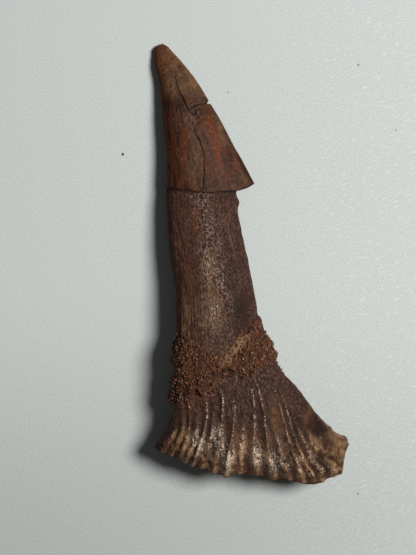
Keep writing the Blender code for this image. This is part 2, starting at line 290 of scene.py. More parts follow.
def pattern(tree, place, per_mm, detail=4, roughness=0.6):
    """A cloudy pattern from 0 to 1, with about so many clouds to a millimetre along X, Y and Z."""
    place = add(tree, "ShaderNodeVectorMath", {0: place, 1: per_mm}, operation="MULTIPLY").outputs[0]
    settings = {"Vector": place, "Scale": 1, "Detail": detail, "Roughness": roughness}
    return add(tree, "ShaderNodeTexNoise", settings).outputs["Fac"]


def coverage(tree, shape, low, high, most=1.0, where=None):
    """How much a finish covers: 0 where shape is below low, most where it is above high, and an even S
    between. It is multiplied by where, if that is given."""
    settings = {"Value": shape, "From Min": low, "From Max": high, "To Max": most}
    share = add(tree, "ShaderNodeMapRange", settings, interpolation_type="SMOOTHSTEP").outputs["Result"]
    if where is None:
        return share
    return add(tree, "ShaderNodeMath", {0: where, 1: share}, operation="MULTIPLY").outputs[0]


def coat(tree, under, hex_colour, *covered, where=None):
    """A coat of colour over the one under it, as much of it as the values for coverage give."""
    mixed = {0: coverage(tree, *covered, where=where), 6: under, 7: linear(hex_colour)}
    return add(tree, "ShaderNodeMix", mixed, data_type="RGBA").outputs[2]


ROOT_TOP = 16.55
UPPER_COLUMNS, UNDER_COLUMNS = 206, 90
STEM_ROWS, BASE_ROWS = 204, 112
# Spots in plan: strength, centre x y, radii x y. First, five places near the rim where the crests spread
# out into worn, glossy crinkles, whose pale specks are painted glints.
LOOPS = (
    (1.0, -6.1, -20.2, 0.7, 1.1), (1.0, -3.95, -19.8, 0.5, 1.2), (1.1, -2.75, -21.8, 0.65, 1.3),
    (0.65, 0.5, -21.8, 0.7, 0.9), (0.7, 2.6, -22.6, 0.8, 1.0),
)
# A knob and a chip of the right edge under the cap, a knob below the crust, and pits near the rim. Their
# strengths are millimetres.
EDGE_CHIPS = ((0.20, -1.6, 6.9, 0.5, 0.45), (-0.25, -1.6, 7.95, 0.5, 0.28))
KNOB = (0.12, -2.79, -16.91, 0.28, 0.45)
RIM_PITS = ((0.16, 7.12, -22.38, 0.28, 0.45), (0.10, -0.63, -22.5, 0.3, 0.7), (0.08, 4.8, -19.6, 0.3, 1.2))
ROUGH_Y, ROUGH_WIDTH = -11.7, 0.8  # where the dentine is rough, just below the crust's right end
# A place below the crust without granular skin, and the right corner of the base, which is dull.
PEBBLE_FREE = (0.85, 3.2, -17.6, 1.0, 2.6)
DULL_CORNER = (0.8, 9.0, -22.0, 1.8, 1.6)
# Worn tan, worn tan in streaks, rust, dirt, violet, and patches of the stem with more sheen.
TAN_SPOTS = (
    (0.9, -7.6, -19.6, 0.45, 1.3), (0.9, 10.2, -21.2, 0.7, 1.9), (0.6, 8.54, -19.6, 0.6, 0.5),
    (0.7, -2.85, -22.1, 0.55, 1.4), (0.3, 0.6, -21.9, 0.5, 0.9), (0.6, 7.2, -21.0, 0.4, 1.1),
    (0.25, -1.0, -20.3, 0.9, 2.0), (0.35, -4.6, -5.3, 1.0, 2.2), (0.5, -4.7, -0.5, 0.45, 1.4),
    (0.35, -4.3, -21.7, 2.2, 1.5), (0.25, 2.73, -17.8, 0.9, 2.4),
)
TAN_STREAKS = (
    (0.7, -7.2, -7.6, 1.2, 1.2), (0.35, -7.9, -5.5, 1.3, 3.0), (0.9, -9.2, -18.6, 1.1, 2.6),
    (0.35, -8.6, -0.5, 0.8, 4.0),
)
RUST_SPOTS = (
    (0.65, 2.73, -17.8, 0.9, 2.4), (0.5, -1.03, -20.3, 0.9, 2.0), (0.7, -6.4, 5.0, 0.30, 2.2),
    (0.20, -7.9, 1.0, 0.9, 8.0), (0.25, -6.8, 5.0, 3.0, 2.5), (0.45, -6.5, -17.0, 1.8, 2.4),
)
DIRT_SPOTS = (
    (1.2, 7.12, -22.38, 0.28, 0.45), (0.7, -0.63, -22.5, 0.3, 0.7), (0.7, 4.8, -19.6, 0.3, 1.2),
    (0.9, -1.3, -5.2, 1.5, 2.0), (0.4, -1.9, -0.5, 0.9, 5.0), (0.8, 8.6, -22.5, 0.9, 0.9),
    (0.4, 7.2, -19.2, 1.0, 1.0), (0.26, -7.0, 5.0, 2.6, 3.0), (0.35, 2.8, -22.6, 1.0, 1.0),
)
VIOLET_SPOTS = (
    (0.8, -1.8, -1.6, 0.9, 1.8), (0.6, -4.6, 2.6, 0.7, 1.6), (0.8, -10.6, -20.5, 0.8, 0.6),
    (0.3, -7.2, -5.5, 1.6, 3.0), (0.7, 7.5, -23.6, 1.6, 0.8),
)
SHEEN_SPOTS = ((0.5, -4.1, 2.7, 0.9, 1.8), (0.5, -4.6, -0.9, 0.9, 1.8), (0.5, -4.3, -5.2, 1.2, 2.2))

down = np.concatenate((
    np.linspace(ROOT_TOP, CRUST_BOTTOM, STEM_ROWS, endpoint=False),
    np.linspace(CRUST_BOTTOM, RIM, BASE_ROWS),
))[:, None]
upper_across = np.linspace(0, 1, UPPER_COLUMNS + 1)[None, :]
under_across = np.linspace(0, 1, UNDER_COLUMNS + 1)[None, :]
surface = around(face(STEM, down, upper_across, False), face(STEM, down, under_across, True))
points, share = surface[..., :3], surface[..., 3]
crest, size, start = around(
    np.stack(flute_relief(upper_across, False), axis=-1),
    np.stack(flute_relief(under_across, True), axis=-1),
).transpose(2, 0, 1)
upper_side = (np.arange(points.shape[1]) <= UPPER_COLUMNS) * np.ones(down.shape)
# Along the fibres: ten widths of fibre across, millimetres down, and the two faces far apart.
fibre = np.stack((share * 10, down + 0 * share, 20 - 20 * upper_side), axis=-1)
x, y = points[..., 0], points[..., 1]
flare = (down - CRUST_BOTTOM) / (RIM - CRUST_BOTTOM)
grow = smoothstep(flare, 0.02, 0.80)
risen = smoothstep(flare, start - 0.15, start + 0.05)
near_rim = smoothstep(flare, 0.80, 1.0)
lower = smoothstep(flare, 0.45, 0.85)
# The right end of the base, where the flutes are low and worn.
wing = smoothstep(x, 2.8, 5.0) * smoothstep(flare, 0.35, 0.65)
# The stem has lost its smooth skin from about a third of the way across, and is granular there, less so
# towards the right. Below the crust the root is less granular, and hardly so at its right end.
ragged_line = share + 0.06 * hills(fibre, (0.5, 1.5, 5), 20)
right_part = 1 - 0.5 * smoothstep(ragged_line, 0.62, 0.80)
grainy = (0.15 + 0.85 * smoothstep(ragged_line, 0.33, 0.48)) * right_part
pebbly = 1 - spots(x, y, PEBBLE_FREE) - 0.9 * smoothstep(x - 0.55 * (y + 15), 5.5, 7.5)
grainy += (0.40 * pebbly.clip(0, 1) - grainy) * smoothstep(flare, -0.05, 0.1)
ragged = smoothstep(share, 0.90, 1.0) * (1 - smoothstep(down, 18.3, 20.0))

# Flutes, fine striae, gentle lumps, knobs along the rim, the granular skin, and faults of the edges. A
# layer is a height in millimetres times hills of a size in millimetres (or fibre widths) and a seed.
relief = size**1.3 * risen * (0.10 + 0.30 * grow) * (crest - 0.25) * (1 - 0.45 * wing)
relief *= 1.0 + 0.35 * hills(fibre, (0.9, 0.9, 5), 21)
relief += 0.030 * hills(fibre, (0.20, 2.2, 5), 22) + (0.03 + 0.05 * grow) * hills(fibre, (0.42, 1.6, 5), 23)
relief += 0.045 * hills(points, 1.6, 24) + (0.04 + 0.05 * grow) * hills(points, 0.55, 25)
relief += near_rim * (0.12 * hills(points, 0.70, 26) + 0.05 * hills(points, 0.33, 28))
loops = upper_side * spots(x, y, *LOOPS)
crinkled = lower * (0.25 + 0.75 * smoothstep(crest, 0.05, 0.45)) * smoothstep(share, 0.02, 0.10)
wrinkles = 0.5 * hills(points, 0.38, 34) + 0.5 * hills(fibre, (0.16, 0.7, 5), 35)
relief += 0.095 * (crinkled + loops) * wrinkles + 0.12 * loops
pebbles = 0.026 * hills(points, (0.34, 0.6, 0.34), 29) + 0.018 * hills(points, (0.2, 0.34, 0.2), 30)
relief += (0.15 + 0.85 * grainy) * pebbles
relief += 0.14 * ragged * (hills(points, 0.36, 31) - 0.2)
relief += spots(x, y, *EDGE_CHIPS)
rough_dentine = 0.10 * hills(points, 0.55, 32) + 0.06 * hills(points, 0.28, 33)
relief += smoothstep(share, 0.70, 0.85) * bell(y - ROUGH_Y, ROUGH_WIDTH) * rough_dentine
relief += upper_side * spots(x, y, KNOB)
relief -= upper_side * spots(x, y, *RIM_PITS)
points = points + outward(points) * relief[..., None]
points[..., 2] = points[..., 2].clip(0)

# The end face of the base is dished: each place of the rim runs in towards a line along its middle.
DISH_STEPS = (0.03, 0.07, 0.13, 0.21, 0.31, 0.43, 0.56, 0.68, 0.78, 0.86, 0.92)
DISH_WIDTH, DISH_ROUGHNESS = 11, 0.16

rim = points[-1]
upper_rim = rim[:UPPER_COLUMNS + 1]
middle = rim.mean(axis=0)
line_x = middle[0] + (rim[:, 0] - middle[0]) * SPINE_SHRINK
line_y = np.interp(line_x, np.maximum.accumulate(upper_rim[:, 0]), upper_rim[:, 1])
hollow = BASE_HOLLOW * (1 - ((line_x - middle[0]) / DISH_WIDTH) ** 2).clip(0.1)
line = np.stack((line_x, line_y + hollow, np.full_like(line_x, middle[2])), axis=-1)
dish = np.stack([rim + (line - rim) * (s, np.sin(s * np.pi / 2), s) for s in DISH_STEPS])
rough = DISH_ROUGHNESS * hills(dish, 0.9, 27)[..., None] * np.array(DISH_STEPS)[:, None, None]
dish += rough * np.array((0, 1, 0))
# The top of the stem is closed inside the cap.
top = points[0]
plug = top.mean(axis=0) + (top - top.mean(axis=0)) * 0.85 + (0, 0.45, 0)

# How much of the surface is polished, from 0 to 1: the crests, each as it is worn, and the crinkles.
ridge = smoothstep(crest, 0.35 - 0.25 * lower, 0.90 - 0.45 * lower)
places = np.concatenate(((0,), np.arccos(1 - 2 * FLUTES[:, 0]) / np.pi, (1,)))
nearest = np.rint(np.interp(upper_across, places, np.arange(len(places)))).astype(int)
polish = POLISH[nearest.clip(1, len(POLISH)) - 1]
under_places = points.shape[1] - UPPER_COLUMNS - 1
polish = np.pad(polish, ((0, 0), (0, under_places)), constant_values=UNDER_POLISH)
broken = (0.80 + 0.7 * hills(fibre, (0.6, 0.6, 5), 41)).clip(0, 1)
polish = polish * ridge * risen * broken * (1 - 0.4 * lower) * (1 - 0.5 * wing)
polish = (polish + 0.6 * crinkled * broken + loops) * (1 - spots(x, y, DULL_CORNER))

# How much of it is worn tan, rust and dirty, from 0 to 1; the rust includes painted light along the left
# side. Dirt lies in the valleys, in the crinkles and along the lip of the cap.
blotchy = (0.1 + 1.1 * hills(points, 0.8, 42)).clip(0, 1)
tan = 0.15 * polish + 0.16 * lower * blotchy * smoothstep(share, 0.05, 0.2)
worn_rim = crinkled * (1 - 0.7 * smoothstep(flare, 0.86, 0.97)) + loops
tan += 0.85 * worn_rim * smoothstep(wrinkles, -0.10, 0.25)
tan += 0.6 * wing * smoothstep(hills(points, 0.6, 46), 0.0, 0.5)
tan += upper_side * spots(x, y, *TAN_SPOTS)
streaky = smoothstep(hills(fibre, (0.12, 1.5, 5), 45), 0.1, 0.5)
right_line = bell(share - 0.84, 0.03) * smoothstep(down, 19, 21) * (1 - smoothstep(down, 27, 29))
tan += upper_side * streaky * (spots(x, y, *TAN_STREAKS) + 0.2 * right_line)
# Rust, and along the left side a painted light that brightens the side away from the lamp.
rust = spots(x, y, *RUST_SPOTS) + 0.15 * (1 - smoothstep(share, 0.1, 0.3))
rust = upper_side * rust + 0.35 * lower
silted = (0.50 + 0.9 * hills(fibre, (1.1, 1.6, 5), 43)).clip(0, 1)
dirt = grow * risen * (1 - smoothstep(crest, 0.05, 0.50)) * silted
dirt += upper_side * spots(x, y, *DIRT_SPOTS)
dirt += 0.25 * smoothstep(flare, 0.0, 0.2) * (1 - lower)
dirt += 0.8 * worn_rim * smoothstep(-wrinkles, 0.05, 0.30) + bell(down - ROOT_TOP - 0.15, 0.22)

# How much of it is violet and how much has a sheen, from 0 to 1. The sheen is patchy on the stem and
# follows the granular skin below the crust.
violet = 0.75 * smoothstep(ragged_line, 0.55, 0.80) * (1 - 0.7 * smoothstep(flare, 0.0, 0.4))
violet += spots(x, y, *VIOLET_SPOTS) + (1 - smoothstep(share, 0.04, 0.12)) * (0.8 - 0.5 * grow)
cloudy = (0.05 + 0.5 * hills(points, 1.3, 44)).clip(0, 1)
violet += (1 - violet).clip(0) * smoothstep(flare, 0, 0.15) * cloudy
patchy_line = share + 0.10 * hills(points, (0.8, 1.6, 0.8), 47) + 0.05 * hills(points, 0.4, 48)
patches = 0.72 + 0.4 * hills(points, (0.8, 1.3, 0.8), 49) + spots(x, y, *SHEEN_SPOTS)
sheen = smoothstep(patchy_line, 0.27, 0.42) * patches.clip(0.5, 1) * right_part
sheen += (grainy - sheen) * smoothstep(flare, -0.3, 0.0)
wear = np.stack([v.clip(0, 1) for v in (tan, rust, dirt)], axis=-1)
skin = np.stack([(v + 0 * share).clip(0, 1) for v in (violet, sheen, polish)], axis=-1)

rings = np.concatenate((plug[None], points, dish))
pad = ((1, len(dish)), (0, 0), (0, 0))
root = mesh_piece(
    "dentine_root", rings, False,
    fibre=np.pad(fibre, pad, mode="edge"), wear=np.pad(wear, pad, mode="edge"),
    skin=np.pad(skin, pad, mode="edge"), loops=np.pad(loops.clip(0, 1), pad[:2], mode="edge"),
)

# Dentine: chocolate brown with a violet cast, streaked along its fibres, tan where it is worn. Where it
# has a sheen it is also speckled and pitted, and the sheen breaks up into tiny glints. Pale specks in the
# worn crinkles near the rim are painted glints, and the rust colour along the left side is painted light.
dentine, tree, shader = finish("fossil_dentine")
place = place_mm(tree)
fibres = add(tree, "ShaderNodeAttribute", attribute_name="fibre").outputs["Vector"]
worn = add(tree, "ShaderNodeAttribute", attribute_name="wear").outputs["Vector"]
tanned, rusty, dirty = add(tree, "ShaderNodeSeparateXYZ", {0: worn}).outputs
skins = add(tree, "ShaderNodeAttribute", attribute_name="skin").outputs["Vector"]
purplish, glossy, polished = add(tree, "ShaderNodeSeparateXYZ", {0: skins}).outputs
painted_glint_patches = add(tree, "ShaderNodeAttribute", attribute_name="loops").outputs["Fac"]
streaks = pattern(tree, fibres, (4.0, 0.8, 1))
fine = pattern(tree, fibres, (9, 2.6, 1), 3)
clouds = pattern(tree, place, (0.6, 0.5, 0.6), 5)
blotches = pattern(tree, place, (2.2, 1.6, 2.2), 4)
specks = pattern(tree, place, (3.8, 2.8, 3.8), 3, 0.7)
sparkle = pattern(tree, place, (6.0, 3.8, 6.0), 2)
granular = coverage(tree, glossy, -0.8, 1.0)
colour = coat(tree, linear("#2B1812"), "#4B2F24", streaks, 0.36, 0.66)
colour = coat(tree, colour, "#2A1A16", clouds, 0.42, 0.62, 0.5)
colour = coat(tree, colour, "#684938", fine, 0.52, 0.75, 0.5)
colour = coat(tree, colour, "#351E1B", clouds, 0.25, 0.55, 0.7, where=purplish)
# Rust, and painted light along the left side.
colour = coat(tree, colour, "#623624", streaks, 0.30, 0.60, where=rusty)
colour = coat(tree, colour, "#765541", specks, 0.52, 0.62, 0.65, where=granular)
colour = coat(tree, colour, "#180D0A", specks, 0.50, 0.40, 0.85, where=granular)
colour = coat(tree, colour, "#9A7957", blotches, 0.32, 0.62, where=tanned)
# Painted glints: pale specks in the worn, glossy crinkles near the rim.
colour = coat(tree, colour, "#D8C4B2", sparkle, 0.43, 0.53, where=painted_glint_patches)
colour = coat(tree, colour, "#160C09", specks, 0.25, 0.55, 0.85, where=dirty)
tree.links.new(colour, shader.inputs["Base Color"])
glints = coverage(tree, clouds, 0.32, 0.48, where=coverage(tree, sparkle, 0.45, 0.56))
glints = add(tree, "ShaderNodeMath", {0: glossy, 1: glints}, operation="MULTIPLY").outputs[0]
polish = coverage(tree, sparkle, 0.38, 0.48, where=coverage(tree, polished, 0.10, 0.45))
shine = add(tree, "ShaderNodeMath", {0: glints, 1: 0.9, 2: polish}, operation="MULTIPLY_ADD").outputs[0]
roughness = add(tree, "ShaderNodeMapRange", {"Value": shine, "To Min": 1.0, "To Max": 0.25})
tree.links.new(roughness.outputs["Result"], shader.inputs["Roughness"])
shader.inputs["Specular IOR Level"].default_value = 0.45
shader.inputs["Specular Tint"].default_value = linear("#FFE9DA")
grit = pattern(tree, place, (5.2, 3.4, 5.2), 1, 0.5)
bumps = add(tree, "ShaderNodeBump", {"Height": grit, "Strength": 1.0, "Distance": 0.1 * MM})
tree.links.new(bumps.outputs["Normal"], shader.inputs["Normal"])
root.data.materials.append(dentine)
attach(root, "root")
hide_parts("rostral_tooth")


# ---------------------------------------------------------------------------------------------------
# Enamel cap: the point of the tooth with its one barb, grown over the top of the root and one with it.
# It is dense and smooth, paler where it is thin, with old cracks and a crumbled spot.

# Level lines down the cap, from the tip to the lip, with the same values as for the root.
CAP = np.array((
    (0.00, -10.15, 25.08, -10.15, 25.08, 0.00, 0.00, 0.36, 1.00),
    (0.35, -10.78, 24.78, -9.58, 24.78, 0.26, 0.26, 0.36, 1.00),
    (0.75, -11.04, 24.42, -9.20, 24.38, 0.36, 0.42, 0.38, 1.00),
    (1.40, -11.08, 23.70, -8.60, 23.74, 0.48, 0.48, 0.42, 1.02),
    (2.55, -10.98, 22.50, -7.58, 22.60, 0.64, 0.52, 0.54, 1.08),
    (4.35, -10.55, 20.65, -6.25, 20.80, 0.84, 0.62, 0.68, 1.15),
    (6.60, -10.35, 18.40, -4.85, 18.50, 1.06, 0.74, 0.82, 1.20),
    (9.05, -10.15, 15.90, -3.35, 16.00, 1.28, 0.86, 0.96, 1.22),
    (11.55, -9.95, 13.40, -2.05, 13.50, 1.48, 0.98, 1.08, 1.25),
    (14.00, -9.85, 10.90, -0.70, 11.10, 1.66, 1.10, 1.20, 1.28),
    (16.15, -9.80, 8.60, 0.35, 9.10, 1.80, 1.22, 1.32, 1.30),
))
LIP = 16.15
CAP_COLUMNS, CAP_UNDER_COLUMNS, CAP_ROWS = 208, 104, 286
# Bend of the lip, from left to right: share of the way across, millimetres along Y.
LIP_BEND = np.array((
    (0.00, 0.00), (0.25, -0.50), (0.47, -0.78), (0.74, -0.71), (0.81, -0.69), (0.875, -0.58), (0.94, -0.36),
    (1.00, 0.00),
))
# Cracks, then the middle lines of a grey fibrous band, an orange glow and an amber streak: places x y.
LONG_CRACK = ((-8.83, 21.80), (-8.50, 20.35), (-8.05, 19.20), (-7.35, 17.70), (-7.05, 17.20))
CROSS_CRACK = ((-4.85, 18.35), (-5.50, 18.22), (-6.30, 18.02), (-7.00, 17.60))
LOW_CRACK = ((-6.55, 15.20), (-5.90, 13.88), (-5.58, 12.93), (-5.41, 11.93), (-5.41, 10.31), (-5.64, 8.40))
FIBROUS_BAND = ((-7.69, 17.26), (-6.9, 15.6), (-6.09, 13.84), (-5.7, 12.0))
GLOW = ((-5.07, 16.57), (-4.4, 14.8), (-3.70, 12.02))
AMBER = ((-3.95, 16.5), (-2.95, 13.5))
CRACK_DEPTH, PIT_DEPTH, CRUMBLE_DEPTH, NICK_DEPTH = 0.10, 0.08, 0.16, 0.50
NICK_Y, NICK_WIDTH = 18.38, 0.11  # a nick in the right edge
# Spots: two pits and the crumbled spot, then a dull place under the tip, honey, orange, grey and dark.
PITS = ((1.0, -9.28, 20.22, 0.10, 0.13), (1.0, -9.28, 19.53, 0.13, 0.10))
CRUMBLED = (1.0, -6.44, 16.9, 0.62, 0.95)
DULL_TIP = (0.5, -6.0, 18.9, 1.3, 0.7)
HONEY_SPOTS = ((0.9, -0.8, 9.6, 0.5, 0.5), (0.75, -6.8, 10.8, 0.6, 1.9))
ORANGE_SPOTS = (
    (0.5, -10.2, 23.9, 0.9, 1.3), (0.6, -7.6, 13.3, 0.30, 2.2), (0.35, -4.6, 15.9, 0.7, 1.8),
    (0.8, -3.75, 12.9, 0.16, 1.3), (0.4, -3.0, 9.8, 0.25, 1.0), (0.15, -8.0, 12.0, 0.35, 2.5),
    (0.25, -3.4, 11.2, 1.5, 2.2),
)
GREY_SPOTS = ((0.5, -6.4, 11.2, 0.5, 1.6), (0.4, -5.0, 11.0, 0.25, 1.4))
DARK_SPOTS = (
    (0.6, -9.0, 18.1, 1.6, 0.8), (0.4, -5.6, 18.8, 0.9, 0.4), (0.3, -4.6, 17.4, 1.2, 0.6),
    (0.6, -1.7, 9.2, 0.4, 0.5), (0.9, -8.2, 22.5, 0.20, 0.16), (0.35, -3.0, 14.0, 0.35, 2.4),
    (0.45, -2.5, 11.6, 0.4, 1.6), (0.45, -4.7, 12.2, 0.3, 1.6), (0.5, -2.3, 9.4, 0.35, 0.35),
    (0.35, -0.6, 10.2, 0.8, 1.2),
)
UNDER_TINT = 0.3  # honey, orange and grey alike on the under face


def from_line(x, y, path):
    """Distance in plan from a broken line: the least of the distances from its straight pieces."""
    nearest = np.full(x.shape, np.inf)
    for (ax, ay), (bx, by) in zip(path[:-1], path[1:]):
        length_squared = (bx - ax) ** 2 + (by - ay) ** 2
        t = np.clip(((x - ax) * (bx - ax) + (y - ay) * (by - ay)) / length_squared, 0, 1)
        nearest = np.minimum(nearest, np.hypot(x - ax - t * (bx - ax), y - ay - t * (by - ay)))
    return nearest


down = (LIP * np.linspace(0, 1, CAP_ROWS) ** 1.15)[:, None]
upper_across = np.linspace(0, 1, CAP_COLUMNS + 1)[None, :]
under_across = np.linspace(0, 1, CAP_UNDER_COLUMNS + 1)[None, :]
surface = around(face(CAP, down, upper_across, False), face(CAP, down, under_across, True))
points, share = surface[..., :3], surface[..., 3]
points[..., 1] += smoothstep(down, 9.0, LIP) * through(LIP_BEND, share)[..., 0]
upper_side = (np.arange(points.shape[1]) <= CAP_COLUMNS) * np.ones(down.shape)
fibre = np.stack((share * 8, down + 0 * share, 20 - 20 * upper_side), axis=-1)
x, y = points[..., 0], points[..., 1]
wander = 0.07 * hills(points, 0.45, 51)
crack = np.zeros(x.shape)
for path, width in ((LONG_CRACK, 0.09), (CROSS_CRACK, 0.07), (LOW_CRACK, 0.055)):
    crack = np.maximum(crack, bell(from_line(x + wander, y + wander, path), width))
crack *= upper_side * (0.5 + 0.5 * smoothstep(21.8 - y, 0, 2.5))
pits = spots(x, y, *PITS)
crumble = spots(x, y, CRUMBLED) * upper_side
relief = 0.006 * hills(fibre, (0.14, 2.5, 5), 52) + 0.020 * hills(fibre, (0.6, 4.0, 5), 53)
relief += 0.030 * hills(points, 1.5, 54) + 0.018 * hills(points, 0.35, 56) + 0.008 * hills(points, 0.18, 58)
crumbs = hills(points, 0.34, 55)
relief -= CRACK_DEPTH * crack + PIT_DEPTH * pits + CRUMBLE_DEPTH * crumble * smoothstep(-crumbs, -0.2, 0.3)
relief -= NICK_DEPTH * bell(y - NICK_Y, NICK_WIDTH) * smoothstep(share, 0.88, 1.0)
relief *= smoothstep(down, 0.0, 1.2)
points = points + outward(points) * relief[..., None]
points[..., 2] = points[..., 2].clip(0)

# The lip turns in under the cap to the top of the root, and is closed inside it.
seat_down = np.array([[ROOT_TOP]])
seat = around(face(STEM, seat_down, upper_across, False), face(STEM, seat_down, under_across, True))
seat = seat[0, :, :3]
lip = points[-1]
tuck = [lip + (seat - lip) * s for s in (0.25, 0.5, 0.75, 1.0)]
inner = seat.mean(axis=0) + (seat - seat.mean(axis=0)) * 0.8 + (0, 0.3, 0)

# How much of the cap is honey tan, orange, grey fibre and dark, from 0 to 1. The dark includes a painted
# line of shade along the right edge.
tip = smoothstep(y, 18.2, 19.6) * smoothstep(share, 0.05, 0.30) * (1 - spots(x, y, DULL_TIP))
honey = tip * (0.75 + 0.4 * hills(points, 0.9, 59)) + spots(x, y, *HONEY_SPOTS)
honey += 0.5 * smoothstep(share, 0.72, 0.95) * smoothstep(y, 11.5, 14.0)
honey += 0.6 * bell(from_line(x, y, AMBER), 0.28)
orange = 0.70 * bell(from_line(x, y, GLOW), 0.45) + spots(x, y, *ORANGE_SPOTS)
greyish = 0.60 * bell(from_line(x, y, FIBROUS_BAND), 0.42) + spots(x, y, *GREY_SPOTS)
greyish += crumble * smoothstep(crumbs, 0.1, 0.5)
dark = spots(x, y, *DARK_SPOTS) + crack + 0.8 * pits + crumble * smoothstep(-crumbs, 0.0, 0.3)
dark += 0.22 * (1 - smoothstep(share, 0.12, 0.34)) * smoothstep(down, 4.5, 6.5)
# A painted line of shade along the right edge, and a dark line along the lip.
dark += 0.35 * smoothstep(share, 0.965, 0.99) + 0.8 * bell(down - LIP, 0.16)
tint = [v * upper_side + UNDER_TINT * (1 - upper_side) for v in (honey, orange, greyish)]
tint = np.stack(tint, axis=-1).clip(0, 1)
rings = np.concatenate((points, tuck, inner[None]))
pad = ((0, len(tuck) + 1), (0, 0), (0, 0))
cap = mesh_piece(
    "enamel_cap", rings, False,
    fibre=np.pad(fibre, pad, mode="edge"), tint=np.pad(tint, pad, mode="edge"),
    dark=np.pad(dark.clip(0, 1), pad[:2], mode="edge"),
)

# Enamel: dense and smooth, dark brown with honey and orange where it is thin, striped along the tooth.
# Its pale specks are partly pale chips and partly painted glints, and a painted line of shade runs along
# its right edge.
enamel, tree, shader = finish("fossil_enamel")
place = place_mm(tree)
fibres = add(tree, "ShaderNodeAttribute", attribute_name="fibre").outputs["Vector"]
tints = add(tree, "ShaderNodeAttribute", attribute_name="tint").outputs["Vector"]
honeyed, oranged, greyed = add(tree, "ShaderNodeSeparateXYZ", {0: tints}).outputs
darkened = add(tree, "ShaderNodeAttribute", attribute_name="dark").outputs["Fac"]
streaks = pattern(tree, fibres, (3.4, 0.35, 1))
fine = pattern(tree, fibres, (10, 1.0, 1), 3)
clouds = pattern(tree, place, (1.1, 0.8, 1.1), 4)
specks = pattern(tree, place, (4.0, 3.0, 4.0), 3, 0.6)
thin = coat(tree, linear("#4E3B26"), "#6C4C34", clouds, 0.40, 0.60)
thinned = add(tree, "ShaderNodeMath", {0: honeyed, 1: 0.9}, operation="MULTIPLY").outputs[0]
fibrous = coat(tree, linear("#2E1D16"), "#614835", fine, 0.42, 0.58)
colour = coat(tree, linear("#27140F"), "#4F2B19", streaks, 0.40, 0.57)
colour = coat(tree, colour, "#5F3A24", fine, 0.50, 0.68, 0.5)
colour = add(tree, "ShaderNodeMix", {0: thinned, 6: colour, 7: thin}, data_type="RGBA").outputs[2]
colour = coat(tree, colour, "#5F280A", streaks, 0.25, 0.55, where=oranged)
colour = add(tree, "ShaderNodeMix", {0: greyed, 6: colour, 7: fibrous}, data_type="RGBA").outputs[2]
colour = coat(tree, colour, "#24120E", specks, 0.46, 0.36, 0.55)
# Pale specks: partly pale chips of enamel, partly painted glints.
colour = coat(tree, colour, "#94745A", specks, 0.63, 0.73, 0.6)
# Dark spots, cracks and pits, and the painted line of shade along the right edge.
colour = coat(tree, colour, "#1C0D0A", specks, 0.25, 0.50, where=darkened)
tree.links.new(colour, shader.inputs["Base Color"])
shader.inputs["Roughness"].default_value = 0.50
shader.inputs["Specular IOR Level"].default_value = 0.18
shader.inputs["Specular Tint"].default_value = linear("#FFE9DA")
grit = pattern(tree, fibres, (14, 3, 1), 4, 0.7)
bumps = add(tree, "ShaderNodeBump", {"Height": grit, "Strength": 0.35, "Distance": 0.05 * MM})
tree.links.new(bumps.outputs["Normal"], shader.inputs["Normal"])
cap.data.materials.append(enamel)
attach(cap, "root")
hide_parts("rostral_tooth")


# ---------------------------------------------------------------------------------------------------
# Crust: sand that iron has cemented round the neck, thick on the left and at the right edge and thin in
# the middle, where a streak of finer sediment fills in the gap. It holds on to the dentine by itself.

CRUST_COLUMNS, CRUST_UNDER_COLUMNS, CRUST_ROWS = 300, 150, 140
CRUST_FROM, CRUST_TO = 30.8, 40.9  # rows of its mesh, down the tooth: a little beyond the crust itself
CRUST_SINK = 0.4  # how far its inner side is sunk into the root
# Middle lines of the streak of silt and of the seam below it, painted dark as shade, and a bare place on
# the left edge.
SILT = ((-0.7, -8.4), (-1.4, -9.4), (-2.2, -10.4), (-2.9, -11.2))
SEAM = ((-3.4, -12.15), (-2.45, -12.1), (-1.25, -12.75), (-0.6, -12.75), (0.6, -12.05))
# How far the crust stands over the right edge of the tooth: distance down, millimetres.
EDGE_PROUD = np.array((
    (32.2, 0.10), (33.5, 0.03), (34.6, 0.10), (35.3, 0.34), (35.9, 0.20), (36.7, 0.48), (37.4, 0.02),
    (39.0, 0.00),
))
BARE = (0.9, -9.0, -12.1, 0.5, 0.6)
BOTTOM_LIFT = 1.8  # how much higher the crust ends at the right edge
OVER_CARD = 0.02  # least height over the card

down = np.linspace(CRUST_FROM, CRUST_TO, CRUST_ROWS)[:, None]
upper_across = np.linspace(0, 1, CRUST_COLUMNS + 1)[None, :]
under_across = np.linspace(0, 1, CRUST_UNDER_COLUMNS + 1)[None, :]
surface = around(face(STEM, down, upper_across, False), face(STEM, down, under_across, True))
natural, share = surface[..., :3], surface[..., 3]
x, y = natural[..., 0], natural[..., 1]
upper_side = (np.arange(natural.shape[1]) <= CRUST_COLUMNS) * np.ones(down.shape)
wobble = 0.50 * hills(natural, 0.9, 61) + 0.35 * hills(natural, 0.35, 62)
cover = smoothstep(down + wobble, CRUST_TOP - 0.35, CRUST_TOP + 0.45)
lifted = BOTTOM_LIFT * smoothstep(share, 0.70, 0.92) * upper_side
cover *= 1 - smoothstep(down + 1.2 * wobble + lifted, CRUST_BOTTOM - 0.4, CRUST_BOTTOM + 0.4)
silt = bell(from_line(x + 0.3 * wobble, y, SILT), 0.75)
silt = silt * (0.75 + 0.5 * hills(natural, 0.6, 67)).clip(0, 1) * upper_side
cover = np.maximum(cover, smoothstep(silt, 0.15, 0.45)) * (1 - spots(x, y, BARE))
gap = from_line(x + 0.2 * wobble, y + 0.2 * wobble, SEAM)
seam = bell(gap, 0.15) * upper_side
clumps = 0.5 + 0.40 * hills(natural, 1.1, 63) + 0.30 * hills(natural, 0.5, 64)
proud = (0.10 + 0.34 * clumps.clip(0, 1)) * (1 - 0.8 * smoothstep(silt, 0.1, 0.6))
